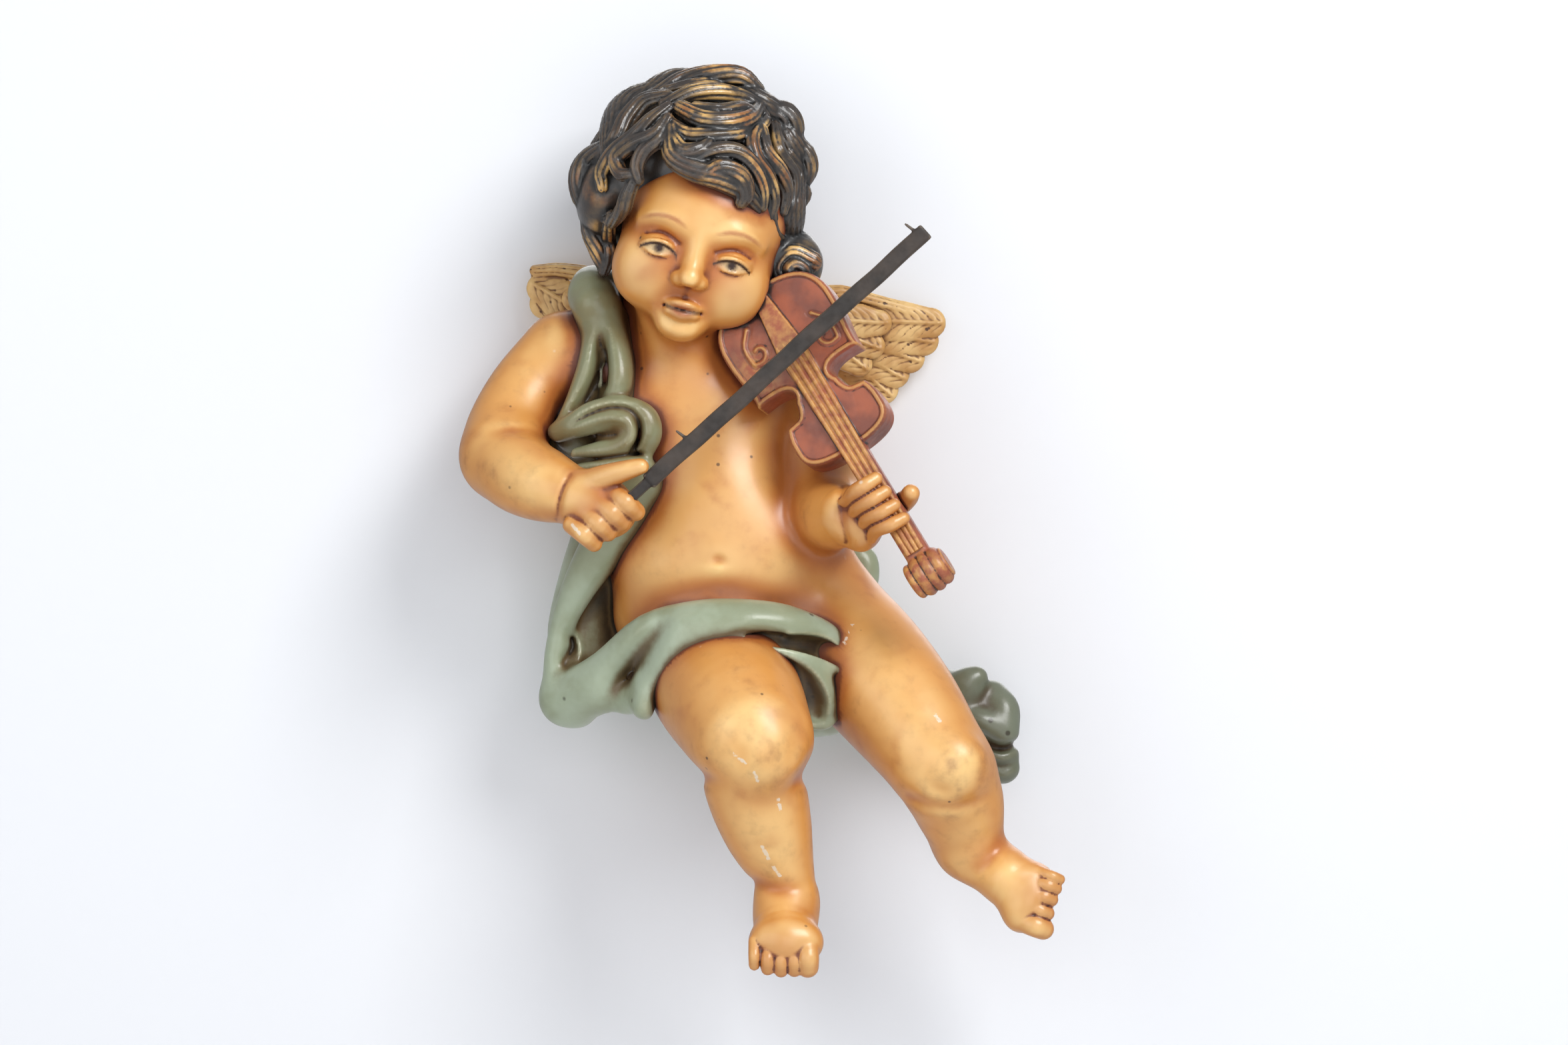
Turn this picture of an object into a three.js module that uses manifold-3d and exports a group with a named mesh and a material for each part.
// Winged cherub with a violin, a wall sculpture: painted figure, violin, bow and two wings.
// Millimetres. +X is the viewer's right, +Z is up, and the wall is the plane y = 0 behind the figure.
import * as THREE from 'three';
import { mergeVertices } from 'three/addons/utils/BufferGeometryUtils.js';
import { edgeTable, triTable } from 'three/addons/objects/MarchingCubes.js';
import Module from 'manifold-3d';

// Driving sizes
const FIGURE_HEIGHT = 500; // crown of the hair to the lowest toe
const GLUE_GAP = 0.35; // clearance between pieces that touch

const VIOLIN_BODY_LENGTH = 108;
const VIOLIN_LOWER_BOUT = 70; // widest part, under the chin
const VIOLIN_CORNER_WIDTH = 66; // over the points at the lower end of the waist
const VIOLIN_WAIST = 27; // between the two deep round notches
const VIOLIN_WAIST_LENGTH = 19;
const VIOLIN_UPPER_BOUT = 56;
const VIOLIN_THICKNESS = 22; // back to rim
const VIOLIN_RIM_WIDTH = 3.2;
const VIOLIN_RIM_HEIGHT = 1.2;
const VIOLIN_NECK_LENGTH = 69; // body to scroll
const VIOLIN_NECK_WIDTH = 14;
const VIOLIN_NECK_DEPTH = 11;
const STRING_BAND_WIDTH = 16; // at the tailpiece
const STRING_BAND_HEIGHT = 3.2; // over the rim
const STRING_RADIUS = 1.6;
const STRING_COUNT = 4;
const TAILPIECE_LENGTH = 40;
const SCROLL_RADIUS = 12;
const SCROLL_WIDTH = 24;

const BOW_LENGTH = 222;
const BOW_WIDTH = 10; // seen from the front
const BOW_DEPTH = 6.4;
const BOW_GRIP_LENGTH = 18; // narrowed end that enters the fist
const BOW_GRIP_WIDTH = 6;
const BOW_PEG_RADIUS = 1.1;
const BOW_PEG_LENGTH = 5;

const FEATHER_WIDTH = 20;
const FEATHER_THICKNESS = 5.5;
const HANGING_HOLE_RADIUS = 5;
const HANGING_HOLE_DEPTH = 14;
const HANGING_HOLE_UP = 40; // above the origin, on the flat back

// Fineness of the carving
const CARVING_STEP = 2.6;
const WING_STEP = 1.9;
const FIGURE_TRIANGLES = 6900;
const WING_TRIANGLES = 620;
const FAR = 40;

// The figure is carved on a net of 500 units from toe to crown.
const UNIT = FIGURE_HEIGHT / 500;
const place = (right, out, up) => new THREE.Vector3(right * UNIT, -out * UNIT, up * UNIT);

// The head leans to the viewer's right and nods a little.
const HEAD_LEAN = THREE.MathUtils.degToRad(14);
const HEAD_NOD = THREE.MathUtils.degToRad(7);
const HEAD_CENTRE = place(-15, 84, 112);
const headTurn = new THREE.Quaternion().setFromEuler(new THREE.Euler(HEAD_NOD, HEAD_LEAN, 0, 'YXZ'));
const onHead = (right, out, up) => place(right, out, up).applyQuaternion(headTurn).add(HEAD_CENTRE);

const wasm = await Module();
wasm.setup();

// Shapes as distances: below zero inside, above zero outside

// A soft minimum: two distances closer than blend run into each other.
function softMin(a, b, blend) {
  const near = Math.max(blend - Math.abs(a - b), 0);
  return Math.min(a, b) - (blend > 0 ? (near * near) / (4 * blend) : 0);
}

// An ellipsoid with its half sizes across, out and up, turned by a quaternion.
function egg(centre, [across, out, up], turn = new THREE.Quaternion()) {
  const size = new THREE.Vector3(across, out, up).multiplyScalar(UNIT);
  const reach = Math.max(size.x, size.y, size.z);
  const back = turn.clone().invert();
  const p = new THREE.Vector3();
  return {
    box: new THREE.Box3().setFromCenterAndSize(centre, new THREE.Vector3().setScalar(2 * reach)),
    distance(x, y, z) {
      p.set(x - centre.x, y - centre.y, z - centre.z).applyQuaternion(back).divide(size);
      const k0 = p.length();
      const k1 = p.divide(size).length();
      return k1 < 1e-6 ? -reach : (k0 * (k0 - 1)) / k1;
    },
  };
}

// A limb, fold or lock: a round section whose radius changes along a smooth line.
// Each row is right, out, up and radius. Flatness below 1 presses it thin along a direction.
function limb(rows, { at = place, steps = 4, thin = null, flatness = 1 } = {}) {
  const line = new THREE.CatmullRomCurve3(rows.map((r) => at(r[0], r[1], r[2])), false, 'catmullrom', 0.5);
  const girth = new THREE.CatmullRomCurve3(rows.map((r) => place(r[3], 0, 0)), false, 'catmullrom', 0.5);
  const count = (rows.length - 1) * steps;
  const points = line.getPoints(count);
  const radii = girth.getPoints(count).map((v) => v.x);
  const box = new THREE.Box3();
  points.forEach((point, i) => {
    box.expandByPoint(point.clone().subScalar(radii[i]));
    box.expandByPoint(point.clone().addScalar(radii[i]));
  });
  const ax = thin ? thin.x : 0;
  const ay = thin ? thin.y : 0;
  const az = thin ? thin.z : 0;
  const press = 1 / flatness - 1;
  return {
    box,
    distance(x, y, z) {
      let best = Infinity;
      for (let i = 0; i < count; i += 1) {
        const a = points[i];
        const b = points[i + 1];
        const ux = b.x - a.x;
        const uy = b.y - a.y;
        const uz = b.z - a.z;
        let t = ((x - a.x) * ux + (y - a.y) * uy + (z - a.z) * uz) / (ux * ux + uy * uy + uz * uz + 1e-9);
        t = Math.min(Math.max(t, 0), 1);
        let dx = x - a.x - t * ux;
        let dy = y - a.y - t * uy;
        let dz = z - a.z - t * uz;
        if (press) {
          const along = (dx * ax + dy * ay + dz * az) * press;
          dx += along * ax;
          dy += along * ay;
          dz += along * az;
        }
        const d = Math.sqrt(dx * dx + dy * dy + dz * dz) - radii[i] - t * (radii[i + 1] - radii[i]);
        if (d < best) best = d;
      }
      return best;
    },
  };
}

// A block of clay: a grid of distances that shapes are laid on and cut out of.
class Clay {
  constructor(low, high, step) {
    this.low = low;
    this.step = step;
    this.count = [high.x - low.x, high.y - low.y, high.z - low.z].map((s) => Math.ceil(s / step) + 1);
    this.field = new Float32Array(this.count[0] * this.count[1] * this.count[2]).fill(FAR);
  }

  // Runs change(old, x, y, z) on each grid point within reach of a box.
  near(box, reach, change) {
    const { low, step, count, field } = this;
    const from = [];
    const to = [];
    ['x', 'y', 'z'].forEach((axis, i) => {
      from[i] = Math.max(0, Math.floor((box.min[axis] - reach - low[axis]) / step));
      to[i] = Math.min(count[i] - 1, Math.ceil((box.max[axis] + reach - low[axis]) / step));
    });
    for (let k = from[2]; k <= to[2]; k += 1) {
      for (let j = from[1]; j <= to[1]; j += 1) {
        for (let i = from[0]; i <= to[0]; i += 1) {
          const at = i + count[0] * (j + count[1] * k);
          field[at] = change(field[at], low.x + i * step, low.y + j * step, low.z + k * step);
        }
      }
    }
  }

  add(shape, blend = 0) {
    const soft = blend * UNIT;
    this.near(shape.box, soft + 3 * this.step, (old, x, y, z) => softMin(old, shape.distance(x, y, z), soft));
  }

  cut(shape, blend = 0) {
    const soft = blend * UNIT;
    this.near(shape.box, soft + 2 * this.step, (old, x, y, z) => -softMin(-old, shape.distance(x, y, z), soft));
  }

  // Presses a groove, or with a negative depth raises a ridge, along a line drawn on the front.
  groove(line, width, depth, { from = 0, at = null } = {}) {
    const ends = line.map(([right, up]) => (at ? at(right, 40, up) : place(right, 0, up)));
    const box = new THREE.Box3().setFromPoints(ends);
    box.min.y = this.low.y;
    box.max.y = -from * UNIT;
    const wide = width * UNIT;
    this.near(box, 2 * wide, (old, x, y, z) => {
      if (Math.abs(old) > 8 * UNIT) return old;
      let best = Infinity;
      for (let i = 0; i + 1 < ends.length; i += 1) {
        const a = ends[i];
        const b = ends[i + 1];
        const ux = b.x - a.x;
        const uz = b.z - a.z;
        const t = Math.min(Math.max(((x - a.x) * ux + (z - a.z) * uz) / (ux * ux + uz * uz), 0), 1);
        best = Math.min(best, Math.hypot(x - a.x - t * ux, z - a.z - t * uz));
      }
      return old + depth * UNIT * Math.exp(-((best / wide) ** 2));
    });
  }

  // Lays a second block of the same grid on this one.
  join(other, blend = 0) {
    this.field.forEach((old, i) => {
      this.field[i] = softMin(old, other.field[i], blend * UNIT);
    });
  }

  // The surface as points and triangles, by marching cubes.
  surface() {
    const { low, step, count, field } = this;
    const stride = [1, count[0], count[0] * count[1]];
    const floor = [0, 1, 1 + stride[1], stride[1]];
    const corner = [...floor, ...floor.map((at) => at + stride[2])];
    // The corner and axis where each of a cube's twelve edges starts
    const floorEdges = [[0, 0], [1, 1], [3, 0], [0, 1]];
    const edges = [...floorEdges, ...floorEdges.map(([at, axis]) => [at + 4, axis]), ...[0, 1, 2, 3].map((at) => [at, 2])];
    const points = [];
    const triangles = [];
    const made = new Map();
    const pointOn = (at, axis) => {
      const key = at * 3 + axis;
      if (!made.has(key)) {
        const share = THREE.MathUtils.clamp(field[at] / (field[at] - field[at + stride[axis]]), 0.02, 0.98);
        const cell = [at % count[0], Math.floor(at / count[0]) % count[1], Math.floor(at / stride[2])];
        cell[axis] += share;
        made.set(key, points.length / 3);
        points.push(low.x + cell[0] * step, low.y + cell[1] * step, low.z + cell[2] * step);
      }
      return made.get(key);
    };
    for (let k = 0; k + 1 < count[2]; k += 1) {
      for (let j = 0; j + 1 < count[1]; j += 1) {
        for (let i = 0; i + 1 < count[0]; i += 1) {
          const at = i + j * stride[1] + k * stride[2];
          let kind = 0;
          for (let c = 0; c < 8; c += 1) if (field[at + corner[c]] > 0) kind |= 1 << c;
          if (edgeTable[kind] === 0) continue;
          for (let n = kind * 16; triTable[n] !== -1; n += 3) {
            for (let v = 0; v < 3; v += 1) {
              const [start, axis] = edges[triTable[n + v]];
              triangles.push(pointOn(at + corner[start], axis));
            }
          }
        }
      }
    }
    return { points, triangles };
  }
}

// A binary heap of edges, cheapest first.
class Heap {
  constructor() {
    this.items = [];
  }

  push(item) {
    const { items } = this;
    let i = items.push(item) - 1;
    while (i > 0) {
      const parent = (i - 1) >> 1;
      if (items[parent].cost <= items[i].cost) break;
      [items[parent], items[i]] = [items[i], items[parent]];
      i = parent;
    }
  }

  pop() {
    const { items } = this;
    const top = items[0];
    const last = items.pop();
    if (items.length) {
      items[0] = last;
      let i = 0;
      for (;;) {
        let least = i;
        for (let child = 2 * i + 1; child <= 2 * i + 2; child += 1) {
          if (child < items.length && items[child].cost < items[least].cost) least = child;
        }
        if (least === i) break;
        [items[least], items[i]] = [items[i], items[least]];
        i = least;
      }
    }
    return top;
  }
}

// Merges edges of a closed mesh, those that change its shape least first, until few triangles are left.
function facet({ points, triangles }, wanted, fineness) {
  const vertexCount = points.length / 3;
  const faces = [];
  const around = Array.from({ length: vertexCount }, () => new Set());
  const version = new Int32Array(vertexCount);
  const quadrics = Array.from({ length: vertexCount }, () => new Float64Array(10));
  const p = Float64Array.from(points);
  const normal = ([a, b, c], moved = -1, to = null) => {
    const at = (v, i) => (v === moved ? to[i] : p[3 * v + i]);
    const ux = at(b, 0) - at(a, 0);
    const uy = at(b, 1) - at(a, 1);
    const uz = at(b, 2) - at(a, 2);
    const vx = at(c, 0) - at(a, 0);
    const vy = at(c, 1) - at(a, 1);
    const vz = at(c, 2) - at(a, 2);
    return [uy * vz - uz * vy, uz * vx - ux * vz, ux * vy - uy * vx];
  };
  for (let i = 0; i < triangles.length; i += 3) {
    const face = triangles.slice(i, i + 3);
    faces.push(face);
    face.forEach((v) => around[v].add(faces.length - 1));
    const n = normal(face);
    const size = Math.hypot(...n) || 1;
    const [a, b, c] = n.map((x) => x / size);
    const d = -(a * p[3 * face[0]] + b * p[3 * face[0] + 1] + c * p[3 * face[0] + 2]);
    const q = [a * a, a * b, a * c, a * d, b * b, b * c, b * d, c * c, c * d, d * d];
    face.forEach((v) => q.forEach((x, k) => { quadrics[v][k] += (x * size) / 2; }));
  }
  const error = (q, [x, y, z]) =>
    q[0] * x * x + 2 * q[1] * x * y + 2 * q[2] * x * z + 2 * q[3] * x + q[4] * y * y
    + 2 * q[5] * y * z + 2 * q[6] * y + q[7] * z * z + 2 * q[8] * z + q[9];
  const matrix = new THREE.Matrix3();
  const heap = new Heap();
  const offer = (a, b) => {
    const q = quadrics[a].map((x, k) => x + quadrics[b][k]);
    const pa = [p[3 * a], p[3 * a + 1], p[3 * a + 2]];
    const pb = [p[3 * b], p[3 * b + 1], p[3 * b + 2]];
    const middle = pa.map((x, i) => (x + pb[i]) / 2);
    const length = Math.hypot(pa[0] - pb[0], pa[1] - pb[1], pa[2] - pb[2]);
    const choices = [middle, pa, pb];
    matrix.set(q[0], q[1], q[2], q[1], q[4], q[5], q[2], q[5], q[7]);
    if (Math.abs(matrix.determinant()) > 1e-4) {
      const best = new THREE.Vector3(-q[3], -q[6], -q[8]).applyMatrix3(matrix.invert()).toArray();
      const away = Math.hypot(best[0] - middle[0], best[1] - middle[1], best[2] - middle[2]);
      if (away < length) choices.push(best);
    }
    const costs = choices.map((c) => error(q, c));
    const cost = Math.min(...costs);
    const total = (cost + 0.02 * length * length) * fineness(middle);
    const to = choices[costs.indexOf(cost)];
    heap.push({ cost: total, a, b, to, va: version[a], vb: version[b] });
  };
  const neighbours = (v) => new Set([...around[v]].flatMap((f) => faces[f]).filter((w) => w !== v));
  faces.forEach(([a, b, c]) => [[a, b], [b, c], [c, a]].forEach(([s, e]) => s < e && offer(s, e)));
  let left = faces.length;
  while (left > wanted && heap.items.length) {
    const { a, b, to, va, vb } = heap.pop();
    if (version[a] !== va || version[b] !== vb) continue;
    const shared = [...around[a]].filter((f) => around[b].has(f));
    const sideA = neighbours(a);
    const common = [...neighbours(b)].filter((v) => sideA.has(v));
    if (shared.length !== 2 || common.length !== 2) continue;
    const turns = (v) => [...around[v]].some((f) => {
      if (shared.includes(f)) return false;
      const before = normal(faces[f]);
      const after = normal(faces[f], v, to);
      const dot = before[0] * after[0] + before[1] * after[1] + before[2] * after[2];
      return dot < 0.25 * Math.hypot(...before) * Math.hypot(...after) + 1e-12;
    });
    if (turns(a) || turns(b)) continue;
    shared.forEach((f) => {
      faces[f].forEach((v) => around[v].delete(f));
      faces[f] = null;
    });
    left -= 2;
    around[b].forEach((f) => {
      faces[f] = faces[f].map((v) => (v === b ? a : v));
      around[a].add(f);
    });
    around[b].clear();
    p.set(to, 3 * a);
    quadrics[b].forEach((x, k) => { quadrics[a][k] += x; });
    version[b] = -1;
    version[a] += 1;
    neighbours(a).forEach((v) => offer(a, v));
  }
  return { points: p, triangles: faces.filter(Boolean).flat() };
}

// Solids that can be joined and cut

// A solid from a closed three.js geometry.
function solid(geometry) {
  const bare = geometry.clone();
  bare.deleteAttribute('normal');
  bare.deleteAttribute('uv');
  const merged = mergeVertices(bare, 1e-4);
  return new wasm.Manifold(new wasm.Mesh({
    numProp: 3,
    vertProperties: Float32Array.from(merged.attributes.position.array),
    triVerts: Uint32Array.from(merged.index.array),
  }));
}

// The faceted solid of a block of clay. Where fineness is over 1, more of the triangles are kept.
function carved(clay, wanted, fineness = () => 1) {
  const { points, triangles } = facet(clay.surface(), wanted, fineness);
  const geometry = new THREE.BufferGeometry();
  geometry.setAttribute('position', new THREE.Float32BufferAttribute(Array.from(points), 3));
  geometry.setIndex(triangles);
  return solid(geometry);
}

// Cuts a neighbour out of a solid with a clearance all round it.
function clearOf(body, neighbour, gap = GLUE_GAP) {
  let left = body;
  for (const x of [-gap, gap]) {
    for (const y of [-gap, gap]) {
      for (const z of [-gap, gap]) left = left.subtract(neighbour.translate([x, y, z]));
    }
  }
  return left;
}

// The largest body of a solid, without the crumbs that a cut leaves.
const largest = (body) => body.decompose().sort((a, b) => b.volume() - a.volume())[0];

function meshOf(name, body, { colour, roughness }) {
  const { vertProperties, triVerts, numProp } = body.getMesh();
  const buffer = new THREE.InterleavedBuffer(vertProperties, numProp);
  const geometry = new THREE.BufferGeometry();
  geometry.setAttribute('position', new THREE.InterleavedBufferAttribute(buffer, 3, 0));
  geometry.setIndex(new THREE.BufferAttribute(triVerts, 1));
  const material = new THREE.MeshStandardMaterial({ color: colour, roughness, metalness: 0 });
  const mesh = new THREE.Mesh(geometry, material);
  mesh.name = name;
  return mesh;
}

// The figure

const pair = (side) => [-1, 1].forEach(side);

function carveTorso(clay) {
  clay.add(egg(place(-17, 54, 10), [50, 44, 46]));
  clay.add(limb([[-80, 52, 44, 24], [-48, 54, 38, 27], [0, 54, 36, 27], [32, 50, 34, 24]]), 14);
  clay.add(egg(place(-42, 76, 16), [25, 18, 20]), 12);
  clay.add(egg(place(6, 74, 14), [25, 18, 20]), 12);
  clay.add(egg(place(-6, 62, -28), [44, 42, 36]), 24);
  clay.add(egg(place(0, 61, -66), [67, 50, 48]), 24);
  clay.add(egg(place(6, 54, -98), [70, 46, 36]), 14);
  clay.add(limb([[-24, 62, 34, 27], [-26, 80, 66, 24]]), 12);
  clay.add(limb([[-4, 22, 44, 28], [-4, 20, 0, 33], [0, 20, -44, 36], [4, 22, -92, 38]]), 16);
  clay.groove([[-11, -67], [-4, -67]], 3, 3.2, { from: 90 });
}

function carveRightArm(clay) {
  clay.add(limb([[-92, 50, 48, 23], [-111, 57, 26, 22.5], [-121, 68, 5, 24], [-123, 80, -9, 25]]), 9);
  clay.add(limb([[-123, 80, -9, 25], [-113, 99, -19, 23], [-100, 114, -26, 20], [-86, 124, -31, 15.5]]), 4);
  clay.groove([[-128, 4], [-112, 4], [-101, 1], [-93, -6]], 2.6, 3, { from: 70 });
  clay.add(egg(place(-73, 130, -33), [18, 14, 17]), 5);
  for (let finger = 0; finger < 4; finger += 1) {
    const right = -60 - 6.2 * finger;
    const up = -31 - 5.2 * finger;
    const size = 6.2 - 0.3 * finger;
    const tip = [right + 13, 137, up - 12, size - 0.8];
    clay.add(limb([[right, 140, up, size], [right + 9, 145, up - 6, size], tip]), 1.2);
  }
  clay.add(limb([[-74, 134, -24, 7], [-62, 140, -20, 6.4], [-50, 143, -16, 5.6], [-42, 143, -14, 4.6]]), 3);
  clay.groove([[-94, -44], [-91, -30], [-86, -18]], 2, 1.6, { from: 90 });
}

function carveLeftArm(clay) {
  clay.add(limb([[34, 50, 36, 23], [42, 62, 6, 22], [51, 78, -24, 21.5], [55, 94, -40, 20.5]]), 9);
  clay.add(limb([[55, 94, -40, 20.5], [58, 112, -42, 19], [64, 128, -42, 16.5]]), 4);
  clay.add(egg(place(72, 133, -45), [13, 15, 17]), 5);
  for (let finger = 0; finger < 4; finger += 1) {
    const right = 64 + 6.2 * finger;
    const up = -28 - 8.6 * finger;
    const size = 5.6 - 0.2 * finger;
    clay.add(limb([[right - 1, 140, up - 3, size], [right + 3, 154, up, size],
      [right + 11, 160, up + 5, size - 0.6], [right + 16, 157, up + 9, size - 1]]), 1);
  }
  clay.add(limb([[76, 124, -44, 8], [90, 130, -38, 6.5], [97, 138, -33, 6.5], [99, 144, -30, 5]]), 3);
  clay.groove([[62, -24], [62, -40], [62, -58]], 2, 1.4, { from: 100 });
}

// Toes in a row from the big one: each is a short round limb that bends over the edge of the foot.
function carveToes(clay, start, end, out, forward) {
  const sizes = [7.8, 6, 5.6, 5.2, 4.8];
  sizes.forEach((size, i) => {
    const share = i / (sizes.length - 1);
    const right = THREE.MathUtils.lerp(start[0], end[0], share);
    const up = THREE.MathUtils.lerp(start[1], end[1], share) - forward[2] * 2.5 * Math.sin(Math.PI * share);
    const root = [right - forward[0] * 14, out - 4, up - forward[1] * 14, size - 0.6];
    const tip = [right + forward[0] * 5, out, up + forward[1] * 5, size - 0.6];
    clay.add(limb([root, [right, out + 2, up, size - 0.4], tip]), 0.6);
  });
}

function carveRightLeg(clay) {
  clay.add(limb([[-12, 58, -118, 39], [-4, 98, -133, 40], [5, 130, -148, 37.5], [12, 150, -162, 34]]), 16);
  clay.add(limb([[13, 146, -168, 30], [15, 141, -190, 28], [21, 134, -212, 24.5], [28, 129, -232, 18.5],
    [32, 127, -247, 16.5]]), 7);
  clay.add(egg(place(21, 168, -172), [17, 14, 15]), 9);
  clay.groove([[-16, -181], [-8, -187]], 4, 4, { from: 110 });
  clay.groove([[44, -178], [38, -186], [33, -190]], 4, 4, { from: 110 });
  clay.groove([[8, -176], [8, -168]], 4, 1.6, { from: 150 });
  clay.groove([[36, -164], [34, -174]], 4, 1.6, { from: 150 });
  clay.add(limb([[32, 118, -258, 15], [31, 130, -262, 17.5], [31, 146, -272, 15]]), 8);
  clay.add(limb([[22, 150, -277, 9], [31, 152, -277, 10], [40, 152, -275, 10]]), 8);
  clay.groove([[14, -246], [24, -248], [36, -247], [48, -243]], 2.6, 3, { from: 100 });
  carveToes(clay, [42, -281], [16, -279], 158, [0, -1, 1]);
}

function carveLeftLeg(clay) {
  clay.add(limb([[50, 58, -102, 38], [72, 76, -122, 36.5], [92, 97, -145, 34], [108, 114, -167, 30],
    [117, 121, -181, 27]]), 16);
  clay.add(limb([[120, 112, -184, 26], [125, 105, -198, 25.5], [129, 99, -212, 22.5], [131, 96, -226, 19]]), 7);
  clay.add(egg(place(124, 138, -176), [14, 11, 14]), 8);
  clay.groove([[100, -197], [112, -201], [128, -199], [140, -192]], 3, 3.4, { from: 95 });
  clay.groove([[112, -190], [118, -192]], 4, 2.4, { from: 110 });
  clay.add(limb([[124, 86, -236, 14], [134, 98, -234, 18], [148, 108, -243, 16]]), 8);
  clay.add(limb([[167, 113, -240, 10], [162, 114, -250, 11], [156, 114, -258, 11]]), 9);
  clay.groove([[114, -226], [126, -229], [140, -226], [150, -217]], 3, 2.6, { from: 80 });
  carveToes(clay, [164, -266], [175, -238], 120, [0.9, -0.4, -1]);
}

function carveHead(clay) {
  const turn = headTurn;
  const put = { at: onHead };
  clay.add(egg(onHead(0, -4, 12), [46, 48, 52], turn), 5);
  clay.add(egg(onHead(0, 12, 12), [41, 36, 34], turn), 8);
  clay.add(egg(onHead(0, 9, -18), [42, 36, 34], turn), 10);
  pair((side) => clay.add(egg(onHead(25 * side, 25, -23), [18, 17, 19], turn), 12));
  clay.add(egg(onHead(0, 33, -46), [14, 12, 11], turn), 9);
  pair((side) => {
    clay.cut(egg(onHead(20 * side, 54, -5), [13, 9, 7.5], turn), 8);
    clay.add(egg(onHead(20 * side, 38, -6.5), [11, 7.6, 7], turn), 2.5);
  });
  clay.add(limb([[0, 42, 8, 5], [0, 46, -5, 5], [0, 50, -17, 6]], put), 7);
  clay.add(egg(onHead(0, 52, -20.5), [6.6, 6, 5.6], turn), 3);
  pair((side) => clay.add(egg(onHead(7 * side, 46.5, -22), [4.4, 4.6, 4], turn), 2.5));
  const upperLip = [[-10, 42.5, -36, 2.4], [-4, 46.5, -34.4, 3.6], [4, 46.5, -34.4, 3.6], [10, 42.5, -36, 2.4]];
  clay.add(limb(upperLip, put), 4);
  clay.add(limb([[-7, 43, -40.6, 2.6], [0, 46, -41.6, 3.8], [7, 43, -40.6, 2.6]], put), 4);
  clay.groove([[-10, -37.4], [0, -38], [10, -37.4]], 2, 1.8, { at: onHead, from: 95 });
}

// The hair: a cap and two side masses, with locks laid on a shell round them
const HAIR_SHELL = { centre: [-10, -6, 27], size: [54, 51, 55] };

// Puts a point seen from the front on the hair shell, at the units right and up of the figure's net.
function onHair(right, up, lift) {
  const { centre, size } = HAIR_SHELL;
  const dx = right - HEAD_CENTRE.x / UNIT;
  const dz = up - HEAD_CENTRE.z / UNIT;
  const across = dx * Math.cos(HEAD_LEAN) - dz * Math.sin(HEAD_LEAN);
  let out = size[1];
  let rise = 0;
  for (let pass = 0; pass < 3; pass += 1) {
    rise = dx * Math.sin(HEAD_LEAN) + dz * Math.cos(HEAD_LEAN) + out * Math.tan(HEAD_NOD);
    const rest = 1 - ((across - centre[0]) / size[0]) ** 2 - ((rise - centre[2]) / size[2]) ** 2;
    out = centre[1] + size[1] * Math.sqrt(Math.max(rest, 0)) + lift;
  }
  return [across, out, rise];
}

// A lock seen from the front: from its root to its tip, bent sideways, thickest past its middle.
function frontLock([right, up, toRight, toUp, bend, girth], lift = 1) {
  const length = Math.hypot(toRight - right, toUp - up);
  const side = [-(toUp - up) / length, (toRight - right) / length];
  const rows = [0, 0.2, 0.4, 0.6, 0.8, 1].map((t) => {
    const sway = bend * Math.sin(Math.PI * t ** 1.15);
    const here = onHair(THREE.MathUtils.lerp(right, toRight, t) + sway * side[0],
      THREE.MathUtils.lerp(up, toUp, t) + sway * side[1], lift + 3 * Math.sin(Math.PI * t));
    return [...here, girth * (0.6 + 0.5 * Math.sin(Math.PI * Math.min(1, 0.1 + 0.85 * t)))];
  });
  return limb(rows, { at: onHead, steps: 2 });
}

// A lock on the back or side, by degrees round from the front and degrees up the shell.
function backLock(round, rise, toRound, toRise, girth, sway) {
  const { centre, size } = HAIR_SHELL;
  const rows = [0, 0.25, 0.5, 0.75, 1].map((t) => {
    const wave = sway * Math.sin(1.6 * Math.PI * t);
    const a = THREE.MathUtils.degToRad(THREE.MathUtils.lerp(round, toRound, t) + wave);
    const e = THREE.MathUtils.degToRad(THREE.MathUtils.lerp(rise, toRise, t));
    return [centre[0] + size[0] * Math.cos(e) * Math.sin(a), centre[1] + size[1] * Math.cos(e) * Math.cos(a),
      centre[2] + size[2] * Math.sin(e), girth * (0.7 + 0.4 * Math.sin(Math.PI * t))];
  });
  return limb(rows, { at: onHead, steps: 2 });
}

// Each front lock: root right and up, tip right and up, sideways bend, girth
const FRONT_LOCKS = [
  [-37, 190, 26, 184, 11, 8],
  [-28, 187, 22, 166, 11, 7.5],
  [22, 184, 39, 163, 6, 8.5],
  [-23, 178, 14, 175, -7, 7.5],
  [29, 168, 34, 128, 9, 8],
  [17, 168, 27, 119, 11, 7.5],
  [-22, 158, 21, 128, 13, 6.5],
  [-33, 162, 16, 126, 2, 9],
  [36, 132, 25, 113, 8, 7],
  [21, 104, 33, 76, -7, 7],
  [-33, 178, -62, 170, -13, 9],
  [-34, 171, -54, 160, -9, 7.5],
  [-34, 166, -71, 134, -9, 7.5],
  [-37, 160, -52, 136, -11, 6.5],
  [-63, 160, -80, 125, -12, 9.5],
  [-71, 134, -62, 117, 9, 7],
  [-80, 124, -66, 88, -4, 8],
  [-66, 122, -64, 94, -4, 7],
];
// The curl under the ear: centre right, out and up on the head, and the size of its spiral
const CURL = { centre: [50, 10, -6], radius: 11, girth: 5.6, turns: 1.5 };

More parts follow.
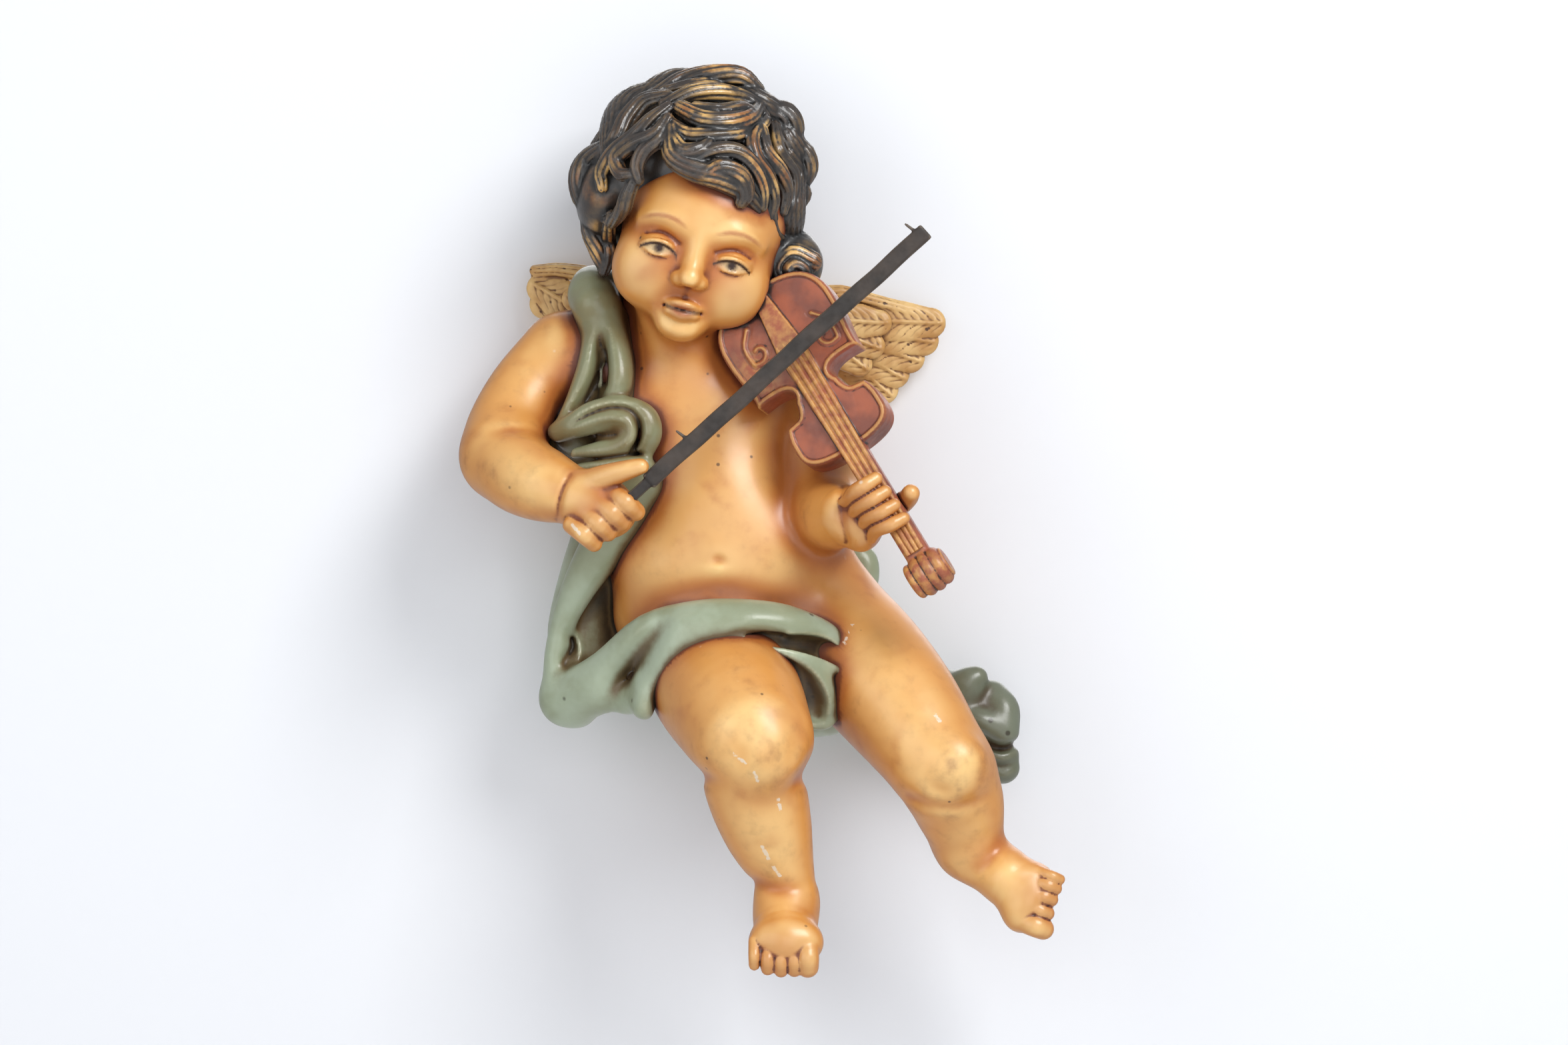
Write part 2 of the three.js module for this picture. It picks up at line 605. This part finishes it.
function carveHair(clay) {
  clay.add(egg(onHead(-9, -8, 31), [48, 45, 47], headTurn));
  clay.add(egg(onHead(-56, -10, 10), [17, 28, 26], headTurn), 10);
  clay.add(egg(onHead(40, -8, 0), [14, 24, 24], headTurn), 10);
  clay.add(egg(onHead(-6, -30, -4), [46, 30, 40], headTurn), 10);
  FRONT_LOCKS.forEach((row) => clay.add(frontLock(row), 2));
  const [right, out, up] = CURL.centre;
  clay.add(egg(onHead(right, out - 10, up + 2), [15, 16, 18], headTurn), 6);
  const spiral = [];
  for (let t = 0; t <= 1; t += 0.125) {
    const turn = 2 * Math.PI * CURL.turns * t - 2.4;
    const away = CURL.radius * (1 - 0.85 * t);
    const girth = CURL.girth * (1 - 0.25 * t);
    spiral.push([right - away * Math.cos(turn), out + 5 * t, up - away * Math.sin(turn), girth]);
  }
  clay.add(limb(spiral, { at: onHead, steps: 3 }), 1.5);
  const tiers = [
    { count: 7, rise: 78, toRise: 44, girth: 8 },
    { count: 9, rise: 50, toRise: 8, girth: 9.5 },
    { count: 9, rise: 12, toRise: -32, girth: 9.5 },
  ];
  tiers.forEach(({ count, rise, toRise, girth }, tier) => {
    for (let i = 0; i < count; i += 1) {
      const round = THREE.MathUtils.lerp(82, 278, (i + 0.5 * (tier % 2)) / (count - 0.5));
      clay.add(backLock(round, rise, round + 8, toRise, girth, i % 2 ? 9 : -9), 2);
    }
  });
}

function carveDrapery(clay) {
  // Over the viewer's left shoulder, in two folds that part on the chest
  clay.add(limb([[-62, 40, 78, 12], [-72, 60, 82, 13], [-72, 82, 66, 12]]));
  clay.add(limb([[-72, 74, 76, 11], [-76, 90, 52, 8], [-86, 92, 26, 7], [-94, 86, 4, 7]]), 5);
  clay.add(limb([[-68, 78, 74, 11], [-62, 96, 52, 9], [-56, 102, 30, 9], [-54, 98, 16, 8]]), 5);
  clay.add(limb([[-74, 72, 50, 10], [-74, 78, 20, 14], [-74, 82, 0, 15], [-66, 84, -20, 15]]), 5);
  clay.add(limb([[-72, 56, 68, 16], [-82, 66, 44, 18], [-88, 74, 16, 16], [-84, 78, -8, 16]]), 4);
  // The roll below the folds, doubled back like an S
  clay.add(limb([[-96, 86, -2, 6], [-82, 98, 8, 7], [-66, 104, 16, 7.5], [-50, 104, 17, 8], [-41, 104, 6, 8],
    [-43, 106, -6, 7.5], [-56, 110, -12, 7], [-72, 112, -15, 6]]), 3);
  clay.add(limb([[-80, 102, -4, 5], [-66, 108, 4, 5.5], [-55, 108, 5, 5.5], [-52, 108, -2, 5]]), 3);
  clay.add(limb([[-76, 100, -18, 7], [-60, 104, -20, 8], [-48, 104, -18, 7]]), 3);
  // Down the flank to the corner by the hip
  clay.add(limb([[-44, 92, -18, 13], [-58, 84, -46, 13], [-76, 72, -76, 12], [-89, 62, -104, 11],
    [-91, 58, -128, 12], [-84, 58, -142, 13]]), 6);
  clay.add(limb([[-60, 50, -40, 22], [-74, 40, -80, 22], [-80, 34, -112, 22], [-70, 38, -132, 20]]), 8);
  clay.add(limb([[-86, 66, -112, 8], [-80, 74, -128, 8], [-84, 72, -140, 9]]), 4);
  // Across the hips: a swoop from the corner, a roll over the belly's foot, and pleats at the crotch
  clay.add(limb([[-92, 62, -145, 11], [-66, 84, -132, 13], [-42, 104, -113, 14], [-18, 120, -101, 13],
    [6, 126, -98, 12], [30, 120, -101, 12], [50, 106, -111, 11.5], [60, 94, -125, 11]]), 6);
  clay.add(limb([[-90, 60, -146, 10], [-64, 82, -144, 11], [-48, 102, -143, 11], [-45, 112, -146, 8]]), 7);
  clay.add(limb([[-20, 124, -104, 12], [-32, 122, -118, 12], [-43, 114, -134, 10], [-44, 108, -147, 8]]), 6);
  clay.add(limb([[-14, 132, -108, 7], [4, 139, -111, 6.5], [22, 135, -112, 6], [40, 122, -118, 6],
    [58, 104, -128, 6]]), 4);
  clay.add(limb([[22, 130, -117, 6.5], [33, 124, -132, 6.5], [42, 114, -149, 7], [52, 106, -156, 7],
    [61, 96, -146, 7], [60, 96, -132, 7]]), 3);
  clay.add(limb([[34, 126, -117, 5], [43, 117, -130, 5], [52, 108, -141, 5]]), 2);
  clay.add(egg(place(14, 86, -116), [54, 36, 22]), 6);
  clay.add(egg(place(48, 82, -136), [18, 24, 22]), 6);
  // Behind the seat and the thighs, ending in a crumpled tail
  clay.add(limb([[-60, 26, -110, 24], [-10, 28, -130, 28], [40, 30, -138, 28], [84, 28, -132, 22]]), 10);
  clay.add(limb([[84, 28, -130, 20], [116, 30, -142, 17], [142, 32, -150, 13], [149, 30, -172, 11],
    [150, 28, -184, 9]]), 8);
  clay.add(limb([[118, 36, -150, 12], [134, 42, -136, 8], [137, 42, -130, 6]]), 4);
  clay.add(limb([[120, 38, -160, 10], [138, 42, -158, 8], [150, 40, -150, 7]]), 4);
  clay.add(limb([[126, 30, -176, 9], [140, 36, -172, 7], [151, 34, -178, 6]]), 4);
  clay.add(limb([[60, 20, -70, 12], [74, 24, -66, 9], [76, 26, -76, 8], [64, 22, -96, 14]]), 6);
}

// The block that the figure is carved from: right, out and up of two corners, with room all round it
const FIGURE_BLOCK = { low: [-160, 196, -304], high: [190, -16, 218] };

function makeFigure() {
  const low = place(...FIGURE_BLOCK.low);
  const high = place(...FIGURE_BLOCK.high);
  const skin = new Clay(low, high, CARVING_STEP * UNIT);
  carveTorso(skin);
  carveRightArm(skin);
  carveLeftArm(skin);
  carveRightLeg(skin);
  carveLeftLeg(skin);
  carveHead(skin);
  const hair = new Clay(low, high, CARVING_STEP * UNIT);
  carveHair(hair);
  const cloth = new Clay(low, high, CARVING_STEP * UNIT);
  carveDrapery(cloth);
  skin.join(hair, 1);
  skin.join(cloth, 1);
  // The face, hands and toes keep more of the triangles
  const fine = [[onHead(0, 46, -22), 34, 9], [place(-68, 136, -34), 24, 4], [place(78, 145, -42), 26, 4],
    [place(30, 158, -280), 22, 4], [place(168, 118, -252), 22, 4]];
  const fineness = ([x, y, z]) => {
    const found = fine.find(([centre, reach]) => centre.distanceTo(new THREE.Vector3(x, y, z)) < reach * UNIT);
    return found ? found[2] : 1;
  };
  return carved(skin, FIGURE_TRIANGLES, fineness);
}

// The violin, made in its own frame: x across, y along the neck and z out of the top plate

const flatShape = (points) => new THREE.Shape(points.map(([x, y]) => new THREE.Vector2(x, y)));

// Its outline, from its end at the origin to its neck, drawn in or let out all round by an inset.
function violinOutline(inset) {
  const lower = VIOLIN_LOWER_BOUT / 2 - inset;
  const corner = VIOLIN_CORNER_WIDTH / 2 - inset;
  const waist = VIOLIN_WAIST / 2 - inset;
  const upper = VIOLIN_UPPER_BOUT / 2 - inset;
  const end = inset;
  const top = VIOLIN_BODY_LENGTH - inset;
  const notchFrom = 0.55 * VIOLIN_BODY_LENGTH - inset;
  const notchTo = notchFrom + VIOLIN_WAIST_LENGTH + 2 * inset;
  const half = new THREE.Path();
  half.moveTo(0, end);
  half.bezierCurveTo(0.7 * lower, end, lower, end + 8, lower, 0.25 * VIOLIN_BODY_LENGTH);
  half.bezierCurveTo(lower, 0.38 * VIOLIN_BODY_LENGTH, corner - 2, notchFrom - 8, corner, notchFrom);
  half.bezierCurveTo(waist, notchFrom - 3, waist - 5, notchFrom + 3, waist, (notchFrom + notchTo) / 2);
  half.bezierCurveTo(waist + 2, notchTo + 1, upper - 10, notchTo - 2, upper - 3, notchTo);
  half.bezierCurveTo(upper, notchTo + 4, upper, 0.84 * VIOLIN_BODY_LENGTH, upper, 0.86 * VIOLIN_BODY_LENGTH);
  half.bezierCurveTo(upper, top - 5, 0.8 * upper, top, 0, top);
  const right = half.getPoints(4);
  const left = right.slice(1, -1).reverse().map((v) => new THREE.Vector2(-v.x, v.y));
  return new THREE.Shape([...right, ...left]);
}

// A straight bar with a round section between two points.
function bar(from, to, radius, endRadius = radius, sides = 8) {
  const along = to.clone().sub(from);
  const geometry = new THREE.CylinderGeometry(endRadius, radius, along.length(), sides);
  const upright = new THREE.Vector3(0, 1, 0);
  geometry.applyQuaternion(new THREE.Quaternion().setFromUnitVectors(upright, along.normalize()));
  const middle = from.clone().add(to).multiplyScalar(0.5);
  return solid(geometry.translate(middle.x, middle.y, middle.z));
}

function block(width, length, depth, x, y, z) {
  return solid(new THREE.BoxGeometry(width, length, depth).translate(x, y, z));
}

function slab(outline, depth, z, bevel = 0) {
  const geometry = new THREE.ExtrudeGeometry(outline, {
    depth: depth - 2 * bevel,
    bevelEnabled: bevel > 0,
    bevelThickness: bevel,
    bevelSize: bevel,
    bevelOffset: -bevel,
    bevelSegments: 1,
  });
  return solid(geometry.translate(0, 0, z + bevel));
}

// The body and neck. The seat is the room that they need, with a clearance all round and over the strings.
function violinCore(clearance = 0) {
  const isSeat = clearance > 0;
  const low = -VIOLIN_THICKNESS - clearance;
  const top = isSeat ? STRING_BAND_HEIGHT + clearance : 0;
  const body = slab(violinOutline(-clearance), top - low, low, isSeat ? 0 : 1.2);
  const from = VIOLIN_BODY_LENGTH - 6;
  const to = VIOLIN_BODY_LENGTH + VIOLIN_NECK_LENGTH + 4;
  const neckTop = isSeat ? top : 1;
  const neckLow = -VIOLIN_NECK_DEPTH - clearance;
  const width = VIOLIN_NECK_WIDTH + 2 * clearance;
  const neck = block(width, to - from, neckTop - neckLow, 0, (from + to) / 2, (neckTop + neckLow) / 2);
  const heelFrom = new THREE.Vector3(0, VIOLIN_BODY_LENGTH - 6, -VIOLIN_THICKNESS / 2);
  const heelTo = new THREE.Vector3(0, VIOLIN_BODY_LENGTH + 8, -VIOLIN_NECK_DEPTH + 2);
  return body.add(neck).add(bar(heelFrom, heelTo, 8 + clearance, 5 + clearance));
}

function makeViolin() {
  const plate = -VIOLIN_RIM_HEIGHT; // the plate lies below the rim, whose top is at z = 0
  const nut = VIOLIN_BODY_LENGTH + VIOLIN_NECK_LENGTH;
  const bridge = STRING_BAND_WIDTH / 2;
  const nutHalf = VIOLIN_NECK_WIDTH / 2 - 2;
  let violin = violinCore().subtract(slab(violinOutline(VIOLIN_RIM_WIDTH), VIOLIN_RIM_HEIGHT + 1, plate));
  const crown = new THREE.SphereGeometry(1, 12, 6);
  crown.scale(0.45 * VIOLIN_WAIST + 4, 0.44 * VIOLIN_BODY_LENGTH, 2.8);
  violin = violin.add(solid(crown.translate(0, VIOLIN_BODY_LENGTH / 2, plate)));
  const tail = bridge / 2;
  const tailpiece = [[-tail, 6], [tail, 6], [bridge, TAILPIECE_LENGTH], [-bridge, TAILPIECE_LENGTH]];
  violin = violin.add(slab(flatShape(tailpiece), STRING_BAND_HEIGHT - plate, plate));
  const bandFrom = TAILPIECE_LENGTH - 1;
  const band = [[-bridge, bandFrom], [bridge, bandFrom], [nutHalf, nut], [-nutHalf, nut]];
  violin = violin.add(slab(flatShape(band), STRING_BAND_HEIGHT - 1.4 - plate, plate));
  for (let i = 0; i < STRING_COUNT; i += 1) {
    const share = (i / (STRING_COUNT - 1)) * 2 - 1;
    const up = STRING_BAND_HEIGHT - STRING_RADIUS;
    const from = new THREE.Vector3(share * (bridge - STRING_RADIUS), TAILPIECE_LENGTH - 3, up);
    const to = new THREE.Vector3(share * (nutHalf - 0.6 * STRING_RADIUS), nut, up);
    violin = violin.add(bar(from, to, STRING_RADIUS, 0.6 * STRING_RADIUS, 6));
  }
  return violin.add(makeScroll());
}

// The scroll: a round block across the end of the neck, with ridges that follow its curl
function makeScroll() {
  const centre = VIOLIN_BODY_LENGTH + VIOLIN_NECK_LENGTH + SCROLL_RADIUS;
  const ridges = 3;
  const ridgeWidth = SCROLL_WIDTH / ridges;
  let scroll = null;
  for (let i = 0; i < ridges; i += 1) {
    const middle = (i - (ridges - 1) / 2) * ridgeWidth;
    const ridge = [[0, -1], [0.86, -1], [1, -0.4], [1, 0.4], [0.86, 1], [0, 1]]
      .map(([r, t]) => new THREE.Vector2(r * SCROLL_RADIUS, (t * (ridgeWidth + 0.2)) / 2));
    const drum = new THREE.LatheGeometry(ridge, 12).rotateZ(-Math.PI / 2);
    const piece = solid(drum.translate(middle, centre, -VIOLIN_NECK_DEPTH / 2));
    scroll = scroll ? scroll.add(piece) : piece;
  }
  return scroll;
}

// Turns a piece made along +y with its face to +z so that it runs from a place along a direction.
function turnedTo(from, along, facing) {
  const y = place(...along).normalize();
  const x = new THREE.Vector3().crossVectors(y, place(...facing)).normalize();
  const z = new THREE.Vector3().crossVectors(x, y);
  return new THREE.Matrix4().makeBasis(x, y, z).setPosition(from);
}

const violinTurn = turnedTo(place(13.5, 103, 82.7), [0.52, 0.3, -0.854], [-0.252, 0.951, 0.18]);

// The bow, from its grip in the fist to its tip, or with a clearance all round it the seat for its grip
function makeBow(clearance = 0) {
  const more = 2 * clearance;
  const gripMiddle = BOW_GRIP_LENGTH / 2;
  const stickMiddle = (BOW_LENGTH + BOW_GRIP_LENGTH) / 2;
  const stickLength = BOW_LENGTH - BOW_GRIP_LENGTH;
  let bow = block(BOW_GRIP_WIDTH + more, BOW_GRIP_LENGTH + 2 + more, BOW_DEPTH - 1.5 + more, 0, gripMiddle, 0);
  bow = bow.add(block(BOW_WIDTH + more, stickLength + more, BOW_DEPTH + more, 0, stickMiddle, 0));
  [BOW_GRIP_LENGTH + 32, BOW_LENGTH - 4].forEach((along) => {
    const from = new THREE.Vector3(0, along, 1);
    const to = new THREE.Vector3(-BOW_WIDTH / 2 - BOW_PEG_LENGTH, along - 2, 2);
    bow = bow.add(bar(from, to, BOW_PEG_RADIUS + clearance, 0.7 * BOW_PEG_RADIUS + clearance, 6));
  });
  return bow;
}

const bowTurn = turnedTo(place(-57, 143, -36), [164.5, -8, 149], [0.1, 1, 0.05]);

// A wing: long feathers that fan from the shoulder, with short ones over them. Tips are right and up.
const WINGS = {
  wing_right: {
    root: [40, 18, 64],
    inner: 20,
    long: [[121, 66], [113, 49], [103, 34], [92, 21], [76, 14]],
    short: [[92, 62], [88, 48], [78, 36], [66, 28]],
    edge: [[56, 81], [80, 78], [108, 73]],
  },
  wing_left: {
    root: [-64, 18, 64],
    inner: -42,
    long: [[-113, 90], [-112, 79], [-104, 68], [-93, 58]],
    short: [[-94, 84], [-92, 73], [-84, 62]],
    edge: [[-72, 88], [-92, 94], [-109, 94]],
  },
};

function carveWing({ root, inner, long, short, edge }) {
  const shapes = [];
  const flatness = FEATHER_THICKNESS / FEATHER_WIDTH;
  const feather = ([right, up], out, width) => {
    const girth = [0.8, 1, 1, 0.5];
    const rows = [0, 0.45, 0.8, 1].map((t, i) => [
      THREE.MathUtils.lerp(root[0], right, t * 0.96),
      root[1] + out - 4 * t,
      THREE.MathUtils.lerp(root[2], up, t * 0.96),
      (girth[i] * width) / UNIT / 2,
    ]);
    shapes.push([limb(rows, { thin: new THREE.Vector3(0, 1, 0), flatness }), 0.6]);
  };
  long.forEach((tip, i) => feather(tip, 4 - 1.6 * i, FEATHER_WIDTH));
  short.forEach((tip, i) => feather(tip, 11 - 1.6 * i, 0.85 * FEATHER_WIDTH));
  const rim = edge.map(([right, up], i) => [right, root[1] + 4 - 2 * i, up, 5 - i]);
  shapes.push([limb([[...root, 9], ...rim]), 3]);
  shapes.push([limb([[inner, root[1] + 8, root[2] - 18, 13], [...root, 11]]), 4]); // let into the back
  const box = new THREE.Box3();
  shapes.forEach(([shape]) => box.union(shape.box));
  box.expandByScalar(3 * WING_STEP * UNIT);
  const clay = new Clay(box.min, box.max, WING_STEP * UNIT);
  shapes.forEach(([shape, blend]) => clay.add(shape, blend));
  return largest(carved(clay, WING_TRIANGLES));
}

// Assembly: the violin and the bow sit in seats cut in the figure, and the wings are fitted to its back
const moved = (body, matrix) => body.transform(matrix.elements);
const violin = moved(makeViolin(), violinTurn);
const bow = moved(makeBow(), bowTurn);
const violinSeat = moved(violinCore(GLUE_GAP), violinTurn);
const bowSeat = moved(makeBow(GLUE_GAP), bowTurn);

const WALL_SIZE = 4 * FIGURE_HEIGHT;
const wall = block(WALL_SIZE, WALL_SIZE, WALL_SIZE, 0, WALL_SIZE / 2, 0);
const holeEnd = new THREE.Vector3(0, -HANGING_HOLE_DEPTH, HANGING_HOLE_UP);
const holeMouth = new THREE.Vector3(0, HANGING_HOLE_DEPTH, HANGING_HOLE_UP);
const hangingHole = bar(holeEnd, holeMouth, HANGING_HOLE_RADIUS, HANGING_HOLE_RADIUS, 16);
const cast = makeFigure().subtract(violinSeat).subtract(bowSeat);
const figure = largest(cast.subtract(wall).subtract(hangingHole));

const group = new THREE.Group();
group.add(meshOf('figure', figure, { colour: 0xd9a45a, roughness: 0.45 }));
group.add(meshOf('violin', violin, { colour: 0x8a4a33, roughness: 0.5 }));
group.add(meshOf('bow', bow, { colour: 0x3f3a38, roughness: 0.6 }));
Object.entries(WINGS).forEach(([name, wing]) => {
  const fitted = largest(clearOf(carveWing(wing).subtract(violinSeat), figure).subtract(wall));
  group.add(meshOf(name, fitted, { colour: 0xc39a5e, roughness: 0.6 }));
});
export default group;
